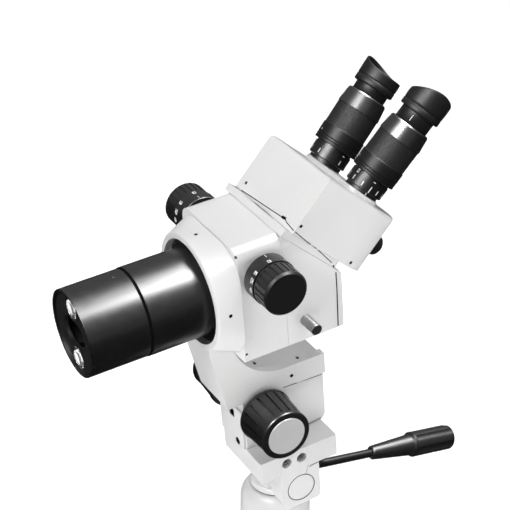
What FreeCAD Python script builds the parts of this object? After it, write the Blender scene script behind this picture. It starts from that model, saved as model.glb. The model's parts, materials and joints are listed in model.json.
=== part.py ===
import FreeCAD, Part
import math
import os

# Colposcope head on the top of its stand column, in millimetres.
# X is across the head (towards the right-hand knobs), +Y points to the operator, +Z is up.
# The origin is the centre of the column's lower face.
# The head is drawn level, with its own origin on the tilt axis, and is then tipped and lifted.

# Column and swivel
pivot_height = 75.0
column_r = 32.0
column_shoulder_r = 24.0
shoulder_drop = 14.0
column_top_drop = 24.5
post_socket_r = 16.0
post_socket_depth = 24.0
spindle_r = 12.0
spindle_length = 20.0
flange_r = 22.5
flange_thickness = 6.0
washer_thickness = 1.0

# Clearances
running_gap = 0.05
seat_gap = 0.3
joint_gap = 0.15

# Tilt joint
head_tilt = 4.45
pin_r = 13.4
boss_r = 19.0
boss_left = -20.0
plate_left = -21.9
cheek_outer = 46.2
cheek_thickness = 19.2
plate_half_depth = 38.5
plate_bottom = 21.0
plate_thickness = 21.4
plate_round = 1.0
cheek_front = -20.0
cheek_rear = 19.3
cheek_low = -18.3
cheek_chamfer = 9.0
cheek_corner_r = 5.0
arm_front = -18.3
arm_rear = 8.2
slit_width = 0.8
cap_screw_r = 4.5
cap_bore_r = 4.9
cap_screw_head = 4.2
cap_screw_sunk = 4.0
cap_screw_spacing = 14.8
cap_screw_height = 32.4
cap_screw_length = 24.0
cap_shank_r = 2.5

# Tilt handle
handle_x = 33.0
handle_entry_z = 7.0
handle_drop = 12.5
stud_r = 3.0
rod_root_r = 4.1
rod_tip_r = 3.9
rod_length = 63.0
rod_seat = 12.0
grip_length = 90.0
grip_neck_r = 6.3
grip_neck_round = 2.0
grip_cone_r = 9.9
grip_end_r = 11.7
grip_end_round = 5.5
grip_cone_length = 43.0
grip_flutes = 6
flute_r = 6.0
flute_depth = 1.5

# Focus unit
housing_half_width = 21.0
housing_front = -38.5
housing_rear = 43.2
seam_height = 95.7
housing_round = 8.0
end_cover_thickness = 1.5
end_cover_half_width = 20.5
end_cover_low = 43.6
tongue_low = 36.0
tongue_x = 4.0
tongue_r = 13.5
gauge_left = -3.0
gauge_low = 69.0
gauge_size = 9.0
gauge_depth = 7.0
end_screw_r = 3.4
end_screw_x = 9.0
end_screw_z = 46.0
rail_width_top = 18.0
rail_width_low = 25.0
rail_depth = 7.9
tooth_module = 1.0
pinion_teeth = 12
pinion_root_share = 0.33
pinion_tip_share = 0.11
rack_root_share = 0.34
rack_tip_share = 0.10
rack_width = 9.0
focus_y = -20.9
focus_shaft_r = 4.0
focus_knob_inner = 27.5
focus_knob_outer = 65.4
focus_rim_r = 24.8
focus_rim_width = 3.2
focus_knob_root_r = 24.2
focus_knob_end_r = 22.4
focus_ring_r = 23.0
focus_ring_width = 3.9
focus_knob_ribs = 18
focus_rib_depth = 1.0
focus_cap_r = 17.6
focus_cap_proud = 0.5

# Carriage: foot, arm and ring in one casting
foot_half_width = 25.0
foot_front = -54.4
foot_rear = 43.0
lip_height = 116.5
platform_height = 112.0
lip_thickness = 8.0
arm_fillet = 50.0
tray_front = -20.0
optical_height = 209.1
ring_front = -67.7
ring_rear = -45.4
ring_outer_r = 51.8
ring_half = 52.0
ring_corner_r = 30.0
ring_edge = 1.0
ring_inner_r = 46.4
ring_screw_r = 1.65
rail_screw_r = 2.2
lock_screw_y = 9.4
lock_screw_z = 105.8

# Microscope body
body_half_width = 48.0
body_half_height = 54.0
body_front = -45.1
body_seam = -3.4
body_rear = 45.4
cover_thickness = 5.8
body_wall = 3.0
body_round = 12.0
body_edge_round = 2.5
nose_length = 12.0
light_path_r = 30.0
slant_offset = 66.5
jack_x = -28.0
jack_level = 22.0
jack_shell_r = 5.4
jack_bore_r = 2.8
jack_depth = 6.0

# Objective barrel
barrel_r = 38.0
barrel_wall = 2.4
barrel_front = -174.4
barrel_joint = -120.8
barrel_step = 0.5
barrel_groove = 2.6
front_recess = 2.4
front_plate_thickness = 3.0
window_r = 11.0
window_offset = 24.4
opening_end_r = 12.3
opening_half_spacing = 7.7
lamp_depth = 16.0
objective_y = -150.0
objective_r = 22.0

# Zoom controls
zoom_y = -23.6
zoom_rise = 28.4
zoom_shaft_r = 4.0
zoom_collar_r = 11.5
zoom_collar_length = 5.3
zoom_skirt_r = 20.3
zoom_skirt_length = 14.5
zoom_grip_r = 19.6
zoom_outer = 88.3
zoom_ribs = 24
filter_y = 13.9
filter_level = 20.9
filter_rod_r = 4.9
filter_outer = 67.0

# Binocular head, drawn on the slanted seat: first along the slant, then away from it
slant_angle = 45.0
seat_front = -10.5
seat_rear = 62.0
seat_thickness = 6.6
head_front = -2.0
head_rear = 108.0
head_low = 73.3
head_high = 127.5
head_wall = 3.0
head_edge_round = 3.0
dovetail_r = 34.0
dovetail_bore_r = 26.0
dovetail_slant = 28.0
front_screw_x = -39.0
front_screw_level = 7.9
side_screw_slant = 0.8
side_screw_level = 8.9
rear_screw_slant = 70.0
rear_screw_level = 4.3
head_screw_r = 1.5
knob_neck_r = 5.0
knob_r = 10.5
knob_reach = 22.0
knob_level = 97.0

# Eyepieces
eye_spacing = 58.0
eye_slant = 49.0
eye_splay = 3.0
eye_travel_in = 4.5
eye_travel_out = 4.0
tube_r = 7.0
plateau_height = 3.4
plateau_r = 18.0
plateau_half_spacing = 27.0
base_r = 15.0
base_height = 2.9
diopter_r = 17.2
diopter_height = 14.9
diopter_lift = 1.5
grip_ring_r = 20.0
grip_ring_height = 14.0
sleeve_r = 19.3
sleeve_height = 21.6
band_r = 19.8
band_end_r = 18.3
band_height = 14.9
neck_r = 15.3
neck_show = 7.5
right_cup_raise = 3.5
cup_r = 18.5
cup_height = 13.0
cup_wing = 12.0
cup_turn = 25.0
cup_round = 1.0
cup_travel = 5.0
eye_lens_r = 11.0

parts = {}


def vec(x, y, z):
    return FreeCAD.Vector(x, y, z)


def block(x0, x1, y0, y1, z0, z1):
    return Part.makeBox(x1 - x0, y1 - y0, z1 - z0, vec(x0, y0, z0))


def rod(radius, start, end):
    axis = end - start
    return Part.makeCylinder(radius, axis.Length, start, axis)


def cross_rod(radius, x0, x1, y, z):
    return rod(radius, vec(x0, y, z), vec(x1, y, z))


def along_rod(radius, y0, y1, x, z):
    return rod(radius, vec(x, y0, z), vec(x, y1, z))


def turned(points):
    """Solid of revolution about Z from (radius, height) points."""
    wire = Part.makePolygon([vec(r, 0, z) for r, z in points + points[:1]])
    return Part.Face(wire).revolve(vec(0, 0, 0), vec(0, 0, 1), 360)


def plate_from(edges, sweep):
    return Part.Face(Part.Wire(Part.__sortEdges__(edges))).extrude(sweep)


def polygon_prism(points, sweep):
    return Part.Face(Part.makePolygon(points + points[:1])).extrude(sweep)


def one_solid(shape):
    """The single solid of a shape, with leftover seams removed."""
    shape = shape.removeSplitter()
    return shape.Solids[0] if len(shape.Solids) == 1 else shape


def rounded(shape, radius, wanted):
    edges = [edge for edge in shape.Edges if wanted(edge)]
    return shape.makeFillet(radius, edges)


def runs_along(edge, axis):
    if not isinstance(edge.Curve, Part.Line):
        return False
    direction = edge.tangentAt(edge.FirstParameter)
    return abs(direction.dot(axis)) > 0.999


def in_head(shape):
    """Tip a level head shape about the tilt axis and lift it onto the column."""
    shape.rotate(vec(0, 0, 0), vec(1, 0, 0), head_tilt)
    shape.translate(vec(0, 0, pivot_height))
    return shape


def on_slant(shape):
    """Place a shape drawn with Z away from the slanted seat and Y down along it."""
    shape.rotate(vec(0, 0, 0), vec(1, 0, 0), -slant_angle)
    shape.translate(vec(0, body_axis_y, optical_height))
    return in_head(shape)


def on_eye(shape, side):
    """Place a shape drawn about Z on one eyepiece axis."""
    shape.rotate(vec(0, 0, 0), vec(0, 1, 0), side * eye_splay)
    shape.translate(vec(side * eye_spacing / 2, eye_slant, head_high))
    return on_slant(shape)


def keep(name, shape):
    parts[name] = shape


# Values that follow from the driving sizes
cheek_inner = cheek_outer - cheek_thickness
plate_top = plate_bottom + plate_thickness
pitch_r = tooth_module * pinion_teeth / 2
rail_low = seam_height - rail_depth
rack_height = 1.25 * tooth_module + 2.2
rack_pitch = rail_low - rack_height + tooth_module
focus_z = rack_pitch - pitch_r
foot_bottom = seam_height + seat_gap
stud_reach = cheek_rear - pin_r - seat_gap - stud_r * math.sin(math.radians(handle_drop))
channel_low = rack_pitch - 2.5 * tooth_module
slant_reach = slant_offset * math.sqrt(2)
body_axis_y = body_seam + body_half_height - slant_reach
body_low = optical_height - body_half_height
body_high = optical_height + body_half_height
nose_r = ring_inner_r - seat_gap
column_top = pivot_height - column_top_drop
column_inner_top = column_top - spindle_length - 2.0
boss_right = cheek_inner - washer_thickness - joint_gap
bush_r = focus_shaft_r + 3.0
head_half_width = body_half_width
zoom_height = optical_height + zoom_rise
zoom_bush_r = zoom_shaft_r + 2.5
zoom_knob_start = body_half_width + 1.2
filter_height = body_low + filter_level
filter_inner = body_half_width / 2
filter_guide_r = filter_rod_r + running_gap
cover_inner = body_rear + joint_gap
cover_outer = cover_inner + cover_thickness
ring_middle = (ring_front + ring_rear) / 2

# Heights along an eyepiece, from the head's top face
base_low = plateau_height + seat_gap
diopter_low = base_low + base_height + joint_gap
diopter_high = diopter_low + diopter_height
grip_low = diopter_high - 3.0
grip_high = diopter_high + grip_ring_height
sleeve_high = grip_high + sleeve_height
band_high = sleeve_high + band_height


def column_tube():
    shoulder = column_top - shoulder_drop
    narrowing = column_r - column_shoulder_r
    bend_r = (narrowing ** 2 + shoulder_drop ** 2) / (2 * narrowing)
    half_turn = math.asin(shoulder_drop / bend_r) / 2
    bulge = vec(column_r - bend_r * (1 - math.cos(half_turn)), 0, shoulder + bend_r * math.sin(half_turn))
    outline = [
        Part.makeLine(vec(0, 0, 0), vec(column_r, 0, 0)),
        Part.makeLine(vec(column_r, 0, 0), vec(column_r, 0, shoulder)),
        Part.Arc(vec(column_r, 0, shoulder), bulge, vec(column_shoulder_r, 0, column_top)).toShape(),
        Part.makeLine(vec(column_shoulder_r, 0, column_top), vec(0, 0, column_top)),
        Part.makeLine(vec(0, 0, column_top), vec(0, 0, 0)),
    ]
    body = Part.Face(Part.Wire(outline)).revolve(vec(0, 0, 0), vec(0, 0, 1), 360)
    socket = rod(post_socket_r, vec(0, 0, -1), vec(0, 0, post_socket_depth))
    bore = rod(spindle_r + running_gap, vec(0, 0, column_inner_top), vec(0, 0, column_top + 1))
    keep("column_tube", one_solid(body.cut(socket).cut(bore)))


def swivel_washer():
    outer = rod(flange_r - 1.0, vec(0, 0, column_top), vec(0, 0, column_top + washer_thickness))
    hole = rod(spindle_r + running_gap, vec(0, 0, column_top - 1), vec(0, 0, column_top + 3))
    keep("swivel_washer", outer.cut(hole))


def yoke():
    flange_low = column_top + washer_thickness
    spindle = rod(spindle_r, vec(0, 0, column_top - spindle_length), vec(0, 0, pivot_height - boss_r / 2))
    flange = rod(flange_r, vec(0, 0, flange_low), vec(0, 0, flange_low + flange_thickness))
    flange = flange.makeChamfer(0.8, [edge for edge in flange.Edges if edge.Length > 2 * flange_r])
    boss = cross_rod(boss_r, boss_left, boss_right, 0, pivot_height)
    web = block(-14, 14, -boss_r + 2, boss_r - 2, flange_low + 1, pivot_height)
    body = spindle.fuse([flange, web, boss])
    bore = cross_rod(pin_r, boss_left - 1, boss_right + 1, 0, pivot_height)
    keep("yoke", one_solid(body.cut(bore)))


def pivot_pin():
    shank = cross_rod(pin_r, boss_left, cheek_outer, 0, pivot_height)
    shank = shank.makeChamfer(0.6, [edge for edge in shank.Edges if edge.Length > 2 * pin_r and
                                    isinstance(edge.Curve, Part.Circle)])
    keep("pivot_pin", shank)


def friction_washer():
    outer = cross_rod(boss_r - 1, boss_right, boss_right + washer_thickness, 0, pivot_height)
    hole = cross_rod(pin_r + running_gap, boss_right - 1, cheek_inner + 1, 0, pivot_height)
    keep("friction_washer", outer.cut(hole))


def tilt_plate():
    body = block(plate_left, cheek_outer, -plate_half_depth, plate_half_depth, plate_bottom, plate_top)
    body = rounded(body, plate_round, lambda edge: runs_along(edge, vec(0, 0, 1)))
    seat = block(cheek_inner, cheek_outer + 1, arm_front - joint_gap, arm_rear + joint_gap,
                 plate_bottom - 1, plate_top + 1)
    body = body.cut(seat)
    for y in cap_screw_places():
        body = body.cut(cross_rod(cap_shank_r, cheek_inner - 10, cheek_inner + 1, y, cap_screw_height))
    keep("tilt_plate", in_head(one_solid(body)))


def cap_screw_places():
    middle = (arm_front + arm_rear) / 2
    return [middle - cap_screw_spacing / 2, middle + cap_screw_spacing / 2]


def clamp_cheek():
    """Split clamp: an arm let into the plate, and a jaw round the pivot pin."""
    top = plate_bottom - joint_gap
    low = [
        vec(cheek_inner, cheek_front, top),
        vec(cheek_inner, cheek_front, cheek_low + cheek_chamfer),
        vec(cheek_inner, cheek_front + cheek_chamfer * 0.5, cheek_low),
        vec(cheek_inner, cheek_rear, cheek_low),
        vec(cheek_inner, cheek_rear, top),
    ]
    jaw = polygon_prism(low, vec(cheek_thickness, 0, 0))
    jaw = rounded(jaw, cheek_corner_r, lambda edge: runs_along(edge, vec(1, 0, 0)) and
                  edge.CenterOfMass.y > cheek_rear - 0.1 and edge.CenterOfMass.z < cheek_low + 0.1)
    arm = block(cheek_inner, cheek_outer, arm_front, arm_rear, top - 1, plate_top)
    body = jaw.fuse(arm)
    body = body.cut(cross_rod(pin_r + running_gap, cheek_inner - 1, cheek_outer + 1, 0, 0))
    slit_low = vec(cheek_inner - 1, pin_r * 0.3, pin_r * 0.8)
    slit_high = vec(cheek_inner - 1, arm_rear + joint_gap, top + 1)
    across = vec(0, slit_width, 0)
    slit = polygon_prism([slit_low, slit_high, slit_high + across, slit_low + across],
                         vec(cheek_thickness + 2, 0, 0))
    body = body.cut(slit)
    stud_hole = rod(stud_r + running_gap, handle_point(-stud_reach - 2), handle_point(6))
    body = body.cut(stud_hole)
    for y in cap_screw_places():
        floor = cheek_outer - cap_screw_sunk - cap_screw_head
        body = body.cut(cross_rod(cap_bore_r, floor, cheek_outer + 1, y, cap_screw_height))
        body = body.cut(cross_rod(cap_shank_r + joint_gap, cheek_inner - 1, cheek_outer, y, cap_screw_height))
    keep("clamp_cheek", in_head(one_solid(body)))


def socket_screw(radius, shank_r, length, head_height):
    """Cap screw along Z: head from 0 down, hexagon socket in its top."""
    head = rod(radius, vec(0, 0, -head_height), vec(0, 0, 0))
    shank = rod(shank_r, vec(0, 0, -length), vec(0, 0, -head_height))
    corners = [vec(radius * 0.5 * math.cos(k * math.pi / 3), radius * 0.5 * math.sin(k * math.pi / 3),
                   -head_height * 0.55) for k in range(6)]
    socket = polygon_prism(corners, vec(0, 0, head_height))
    return one_solid(head.fuse(shank).cut(socket))


def cheek_screws():
    screws = []
    for y in cap_screw_places():
        screw = socket_screw(cap_screw_r, cap_shank_r, cap_screw_length, cap_screw_head)
        screw.rotate(vec(0, 0, 0), vec(0, 1, 0), 90)
        screw.translate(vec(cheek_outer - cap_screw_sunk, y, cap_screw_height))
        screws.append(in_head(screw))
    keep("cheek_screws", Part.makeCompound(screws))


def handle_point(distance):
    """Point on the handle's axis, measured from the jaw's rear face."""
    drop = math.radians(handle_drop)
    return vec(handle_x, cheek_rear + distance * math.cos(drop), handle_entry_z - distance * math.sin(drop))


def along_handle(shape):
    """Place a shape drawn about Z on the handle's axis."""
    shape.rotate(vec(0, 0, 0), vec(1, 0, 0), -90 - handle_drop)
    shape.translate(handle_point(0))
    return in_head(shape)


def handle_rod():
    shoulder = 1.5
    profile = [(0, -stud_reach), (stud_r, -stud_reach), (stud_r, shoulder), (rod_root_r, shoulder),
               (rod_root_r, shoulder + 3), (rod_tip_r, shoulder + 5), (rod_tip_r, rod_length + rod_seat),
               (0, rod_length + rod_seat)]
    keep("handle_rod", along_handle(turned(profile)))


def handle_grip():
    """Turned grip: slim cone, then a thicker domed end with wide flutes."""
    start = rod_length
    cone = start + grip_cone_length
    end = start + grip_length
    profile = [(0, start), (grip_neck_r, start), (grip_cone_r, cone), (grip_end_r, cone + 1.5),
               (grip_end_r, end), (0, end)]
    body = turned(profile)
    ends = [edge for edge in body.Edges if isinstance(edge.Curve, Part.Circle)]
    body = body.makeFillet(grip_end_round, [edge for edge in ends if edge.CenterOfMass.z > end - 0.1])
    ends = [edge for edge in body.Edges if isinstance(edge.Curve, Part.Circle)]
    body = body.makeFillet(grip_neck_round, [edge for edge in ends if edge.CenterOfMass.z < start + 0.1])
    away = grip_end_r + flute_r - flute_depth
    for k in range(grip_flutes):
        angle = 2 * math.pi * k / grip_flutes
        x = away * math.cos(angle)
        y = away * math.sin(angle)
        body = body.cut(rod(flute_r, vec(x, y, cone + 4), vec(x, y, end + 1)))
    body = body.cut(rod(rod_tip_r, vec(0, 0, start - 1), vec(0, 0, start + rod_seat)))
    keep("handle_grip", along_handle(one_solid(body)))


def rail_outline(extra):
    """Dovetail section across the head, widened by a clearance."""
    top = rail_width_top / 2 + extra
    low = rail_width_low / 2 + extra
    return [(-top, seam_height + 1), (-top, seam_height), (-low, rail_low - extra), (low, rail_low - extra),
            (top, seam_height), (top, seam_height + 1)]


def focus_housing():
    body = block(-housing_half_width, housing_half_width, housing_front, housing_rear, plate_top, seam_height)
    body = rounded(body, housing_round, lambda edge: runs_along(edge, vec(1, 0, 0)) and
                   edge.CenterOfMass.y > housing_rear - 1 and edge.CenterOfMass.z < plate_top + 1)
    body = rounded(body, 1.5, lambda edge: runs_along(edge, vec(0, 0, 1)))
    way = [vec(x, housing_front - 1, z) for x, z in rail_outline(joint_gap)]
    body = body.cut(polygon_prism(way, vec(0, housing_rear - housing_front + 2, 0)))
    half = rack_width / 2 + 1.0
    channel = block(-half, half, housing_front - 1, housing_rear - 6, channel_low, rail_low + 1)
    well = block(-half, half, focus_y - pitch_r - 3, focus_y + pitch_r + 3, focus_z - pitch_r - 3, rail_low)
    gauge = block(gauge_left, gauge_left + gauge_size, housing_front - 1, housing_front + gauge_depth,
                  gauge_low, gauge_low + gauge_size)
    body = body.cut(channel).cut(well).cut(gauge)
    body = body.cut(cross_rod(bush_r, -housing_half_width - 1, housing_half_width + 1, focus_y, focus_z))
    keep("focus_housing", in_head(one_solid(body)))


def pinion_bushes():
    bushes = []
    half = rack_width / 2 + 1.0
    for side in (-1, 1):
        shell = cross_rod(bush_r, side * half, side * (housing_half_width + 2.0), focus_y, focus_z)
        hole = cross_rod(focus_shaft_r + running_gap, side * (half - 1), side * (housing_half_width + 4),
                         focus_y, focus_z)
        bushes.append(in_head(shell.cut(hole)))
    keep("pinion_bushes", Part.makeCompound(bushes))


def focus_end_cover():
    """Front cover of the focus unit, with a round tongue down over the tilt plate."""
    w = end_cover_half_width
    y = housing_front - seat_gap / 3
    middle = tongue_low + tongue_r
    reach = math.sqrt(tongue_r ** 2 - (middle - end_cover_low) ** 2)
    left = vec(tongue_x - reach, y, end_cover_low)
    right = vec(tongue_x + reach, y, end_cover_low)
    edges = [
        Part.makeLine(vec(-w, y, end_cover_low), vec(-w, y, channel_low)),
        Part.makeLine(vec(-w, y, channel_low), vec(w, y, channel_low)),
        Part.makeLine(vec(w, y, channel_low), vec(w, y, end_cover_low)),
        Part.makeLine(vec(w, y, end_cover_low), right),
        Part.Arc(right, vec(tongue_x, y, tongue_low), left).toShape(),
        Part.makeLine(left, vec(-w, y, end_cover_low)),
    ]
    body = plate_from(edges, vec(0, -end_cover_thickness, 0))
    window = block(gauge_left, gauge_left + gauge_size, y - 5, y + 1, gauge_low, gauge_low + gauge_size)
    body = body.cut(window)
    body = body.cut(along_rod(end_screw_r + 0.1, y - 5, y + 1, end_screw_x, end_screw_z))
    keep("focus_end_cover", in_head(one_solid(body)))
    screw = rod(end_screw_r, vec(0, 0, -end_cover_thickness), vec(0, 0, 0.3))
    slot = block(-end_screw_r - 1, end_screw_r + 1, -0.4, 0.4, -0.6, 1)
    screw = screw.cut(slot)
    screw.rotate(vec(0, 0, 0), vec(1, 0, 0), 90)
    screw.translate(vec(end_screw_x, y - end_cover_thickness, end_screw_z))
    keep("end_cover_screw", in_head(screw))


def gear_outline(teeth, module):
    """Straight-flanked teeth about the origin, as (x, y) points."""
    root = module * (teeth / 2 - 1.2)
    tip = module * (teeth / 2 + 0.95)
    step = 2 * math.pi / teeth
    points = []
    for k in range(teeth):
        for share, radius in ((-pinion_root_share, root), (-pinion_tip_share, tip),
                              (pinion_tip_share, tip), (pinion_root_share, root)):
            angle = (k + share) * step
            points.append((radius * math.cos(angle), radius * math.sin(angle)))
    return points


def pinion_shaft():
    """Cross shaft of the focus drive with its pinion in the middle."""
    shaft = cross_rod(focus_shaft_r, -focus_knob_outer + 6, focus_knob_outer - 6, focus_y, focus_z)
    outline = gear_outline(pinion_teeth, tooth_module)
    teeth = polygon_prism([vec(-rack_width / 2, focus_y + a, focus_z + b) for a, b in outline],
                          vec(rack_width, 0, 0))
    keep("pinion_shaft", in_head(one_solid(shaft.fuse(teeth))))


def focus_rack():
    """Straight rack under the rail, with a tooth space over the pinion's tooth."""
    pitch = math.pi * tooth_module
    tip = rack_pitch - tooth_module * 0.9
    root = rack_pitch + tooth_module * 1.2
    length = housing_rear - housing_front - 14
    teeth = int(length / pitch / 2)
    mesh_y = focus_y + pitch / 2
    points = []
    for k in range(-teeth + 5, teeth + 5):
        y = mesh_y + k * pitch
        for share, z in ((-rack_root_share, root), (-rack_tip_share, tip), (rack_tip_share, tip),
                         (rack_root_share, root)):
            points.append(vec(-rack_width / 2, y + share * pitch, z))
    points.append(vec(-rack_width / 2, points[-1].y, rail_low))
    points.append(vec(-rack_width / 2, points[0].y, rail_low))
    keep("focus_rack", in_head(polygon_prism(points, vec(rack_width, 0, 0))))


def slide_rail():
    points = [vec(x, housing_front + 2, z) for x, z in rail_outline(0)]
    points[0].z = foot_bottom
    points[-1].z = foot_bottom
    keep("slide_rail", in_head(polygon_prism(points, vec(0, housing_rear - housing_front - 4, 0))))


def focus_knob(side):
    """Tapered knob with wide ribs between a smooth rim and an end ring round the cap."""
    length = focus_knob_outer - focus_knob_inner
    ring = length - focus_ring_width
    rim = focus_rim_width
    profile = [(focus_shaft_r, 2), (focus_shaft_r + 5, 0), (focus_rim_r - 2, 0), (focus_rim_r, 0.8),
               (focus_rim_r, rim), (focus_knob_root_r, rim + 0.4), (focus_knob_end_r, ring - 0.4),
               (focus_ring_r, ring), (focus_ring_r, length - 1.4), (focus_ring_r - 0.5, length - 0.5),
               (focus_ring_r - 1.6, length), (focus_cap_r + 0.1, length), (focus_cap_r + 0.1, length - 3),
               (focus_shaft_r, length - 3)]
    body = turned(profile)
    for k in range(focus_knob_ribs):
        groove = block(focus_knob_end_r - focus_rib_depth, focus_rim_r + 2, -0.9, 0.9, rim + 1.0, ring - 1.2)
        groove.rotate(vec(0, 0, 0), vec(0, 0, 1), 360.0 * k / focus_knob_ribs)
        body = body.cut(groove)
    body = one_solid(body)
    body.rotate(vec(0, 0, 0), vec(0, 1, 0), 90 * side)
    body.translate(vec(side * focus_knob_inner, focus_y, focus_z))
    return in_head(body)


def focus_cap(side):
    length = focus_knob_outer - focus_knob_inner
    low = length - 3
    top = length + focus_cap_proud
    profile = [(0, low), (focus_cap_r, low), (focus_cap_r, top - 0.4), (focus_cap_r - 0.4, top), (0, top)]
    body = turned(profile)
    body.rotate(vec(0, 0, 0), vec(0, 1, 0), 90 * side)
    body.translate(vec(side * focus_knob_inner, focus_y, focus_z))
    return in_head(body)


def focus_knobs():
    for name, side in (("left", -1), ("right", 1)):
        keep("focus_knob_" + name, focus_knob(side))
        keep("focus_cap_" + name, focus_cap(side))


def round_section(radius, y):
    """Circle about the optical axis, split where the square section's corners begin and end."""
    step = math.atan2(ring_half - ring_corner_r, ring_half)
    bends = []
    for k in range(4):
        bends += [k * math.pi / 2 - step, k * math.pi / 2 + step]
    edges = []
    for k in range(8):
        a0 = bends[k]
        a1 = bends[(k + 1) % 8] + (2 * math.pi if k == 7 else 0)
        points = [vec(radius * math.cos(a), y, optical_height + radius * math.sin(a))
                  for a in (a0, (a0 + a1) / 2, a1)]
        edges.append(Part.Arc(*points).toShape())
    return Part.Wire(edges)


def square_section(y):
    """Square about the optical axis with large round corners."""
    h = ring_half
    c = h - ring_corner_r
    m = c + ring_corner_r * math.sqrt(0.5)
    edges = []
    for k in range(4):
        turn = k * math.pi / 2
        points = []
        for u, v in ((h, -c), (h, c), (m, m), (c, h)):
            points.append(vec(u * math.cos(turn) - v * math.sin(turn), y,
                              optical_height + u * math.sin(turn) + v * math.cos(turn)))
        edges.append(Part.makeLine(points[0], points[1]))
        edges.append(Part.Arc(points[1], points[2], points[3]).toShape())
    return Part.Wire(edges)


def clamp_ring():
    """Ring whose outside grows from a circle in front to a rounded square behind."""
    front = Part.makeLoft([round_section(ring_outer_r - ring_edge, ring_front),
                           round_section(ring_outer_r, ring_front + ring_edge)], True, True)
    rear = Part.makeLoft([round_section(ring_outer_r, ring_front + ring_edge), square_section(ring_rear)],
                         True, True)
    return front.fuse(rear)


def ring_screw_places():
    """Angles of the ring's set screws about the optical axis."""
    return (0.0, 90.0, 180.0)


def holder():
    """Foot, curved arm and clamp ring in one casting."""
    w = foot_half_width
    centre = vec(0, ring_rear + arm_fillet, lip_height + arm_fillet)
    start = centre - vec(0, 0, arm_fillet)
    bend = centre - vec(0, arm_fillet, arm_fillet) * math.sqrt(0.5)
    finish = centre - vec(0, arm_fillet, 0)
    high = optical_height - ring_outer_r * 0.7
    front_high = vec(0, ring_front + ring_edge, high)
    corner = vec(0, ring_front + ring_edge, optical_height - ring_outer_r)
    foot_corner = vec(0, foot_front, foot_bottom)
    edges = [
        Part.makeLine(foot_corner, vec(0, foot_rear, foot_bottom)),
        Part.makeLine(vec(0, foot_rear, foot_bottom), vec(0, foot_rear, lip_height)),
        Part.makeLine(vec(0, foot_rear, lip_height), start),
        Part.Arc(start, bend, finish).toShape(),
        Part.makeLine(finish, vec(0, ring_rear, high)),
        Part.makeLine(vec(0, ring_rear, high), front_high),
        Part.makeLine(front_high, corner),
        Part.makeLine(corner, foot_corner),
    ]
    arm = plate_from(edges, vec(2 * w, 0, 0))
    arm.translate(vec(-w, 0, 0))
    body = arm.fuse(clamp_ring())
    body = body.cut(along_rod(ring_inner_r, ring_front - 1, ring_rear + 1, 0, optical_height))
    tray = block(-w + lip_thickness, w - lip_thickness, tray_front, foot_rear + 1,
                 platform_height, lip_height + arm_fillet)
    corner_pocket = block(-w - 1, w + 1, ring_rear, foot_rear, body_low - seat_gap, optical_height)
    body = body.cut(tray).cut(corner_pocket)
    for x, y in rail_screw_places():
        body = body.cut(rod(rail_screw_r + 0.1, vec(x, y, platform_height - 3), vec(x, y, lip_height)))
    body = body.cut(cross_rod(ring_screw_r + 0.1, w - 4, w + 1, lock_screw_y, lock_screw_z))
    for angle in ring_screw_places():
        hole = rod(ring_screw_r + 0.1, vec(ring_inner_r - 1, ring_middle, 0), vec(ring_half + 3, ring_middle, 0))
        hole.rotate(vec(0, 0, 0), vec(0, 1, 0), -angle)
        hole.translate(vec(0, 0, optical_height))
        body = body.cut(hole)
    keep("holder", in_head(one_solid(body)))


def set_screw(radius, length):
    screw = rod(radius, vec(0, 0, -length), vec(0, 0, 0))
    corners = [vec(radius * 0.55 * math.cos(k * math.pi / 3), radius * 0.55 * math.sin(k * math.pi / 3),
                   -radius) for k in range(6)]
    return screw.cut(polygon_prism(corners, vec(0, 0, radius + 1)))


def rail_screw_places():
    return ((-2.2, -12.8), (12.6, 23.0))


def holder_screws():
    """Rail screws in the platform, a locking screw in the foot's side and the ring's set screws."""
    screws = []
    for x, y in rail_screw_places():
        screw = set_screw(rail_screw_r, 2.6)
        screw.translate(vec(x, y, platform_height - 0.3))
        screws.append(in_head(screw))
    lock = set_screw(ring_screw_r, 3.5)
    lock.rotate(vec(0, 0, 0), vec(0, 1, 0), 90)
    lock.translate(vec(foot_half_width - 0.2, lock_screw_y, lock_screw_z))
    screws.append(in_head(lock))
    for angle in ring_screw_places():
        screw = set_screw(ring_screw_r, ring_half - ring_inner_r - 0.6)
        screw.rotate(vec(0, 0, 0), vec(0, 1, 0), 90)
        screw.translate(vec(ring_outer_r - 0.3, ring_middle, 0))
        screw.rotate(vec(0, 0, 0), vec(0, 1, 0), -angle)
        screw.translate(vec(0, 0, optical_height))
        screws.append(in_head(screw))
    keep("holder_screws", Part.makeCompound(screws))


def build_lower():
    column_tube()
    swivel_washer()
    yoke()
    pivot_pin()
    friction_washer()
    tilt_plate()
    clamp_cheek()
    cheek_screws()
    handle_rod()
    handle_grip()
    focus_housing()
    pinion_bushes()
    focus_end_cover()
    pinion_shaft()
    focus_rack()
    slide_rail()
    focus_knobs()
    holder()
    holder_screws()


def body_section(y0, y1):
    body = block(-body_half_width, body_half_width, y0, y1, body_low, body_high)
    body = rounded(body, body_round, lambda edge: runs_along(edge, vec(0, 1, 0)) and
                   edge.CenterOfMass.z > body_high - 1)
    return rounded(body, body_edge_round, lambda edge: runs_along(edge, vec(0, 1, 0)) and
                   edge.CenterOfMass.z < body_low + 1)


def body_cavity(y0, y1):
    w = body_half_width - body_wall
    body = block(-w, w, y0, y1, body_low + body_wall, body_high - body_wall)
    return rounded(body, body_round - body_wall, lambda edge: runs_along(edge, vec(0, 1, 0)) and
                   edge.CenterOfMass.z > body_high - body_wall - 1)


def below_slant(offset):
    """Everything under the slanted seat plane, lowered by an offset."""
    reach = 200.0
    body = block(-reach, reach, -reach, reach, -reach, slant_offset - offset)
    body.rotate(vec(0, 0, 0), vec(1, 0, 0), -slant_angle)
    body.translate(vec(0, body_axis_y, optical_height))
    return body


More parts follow.
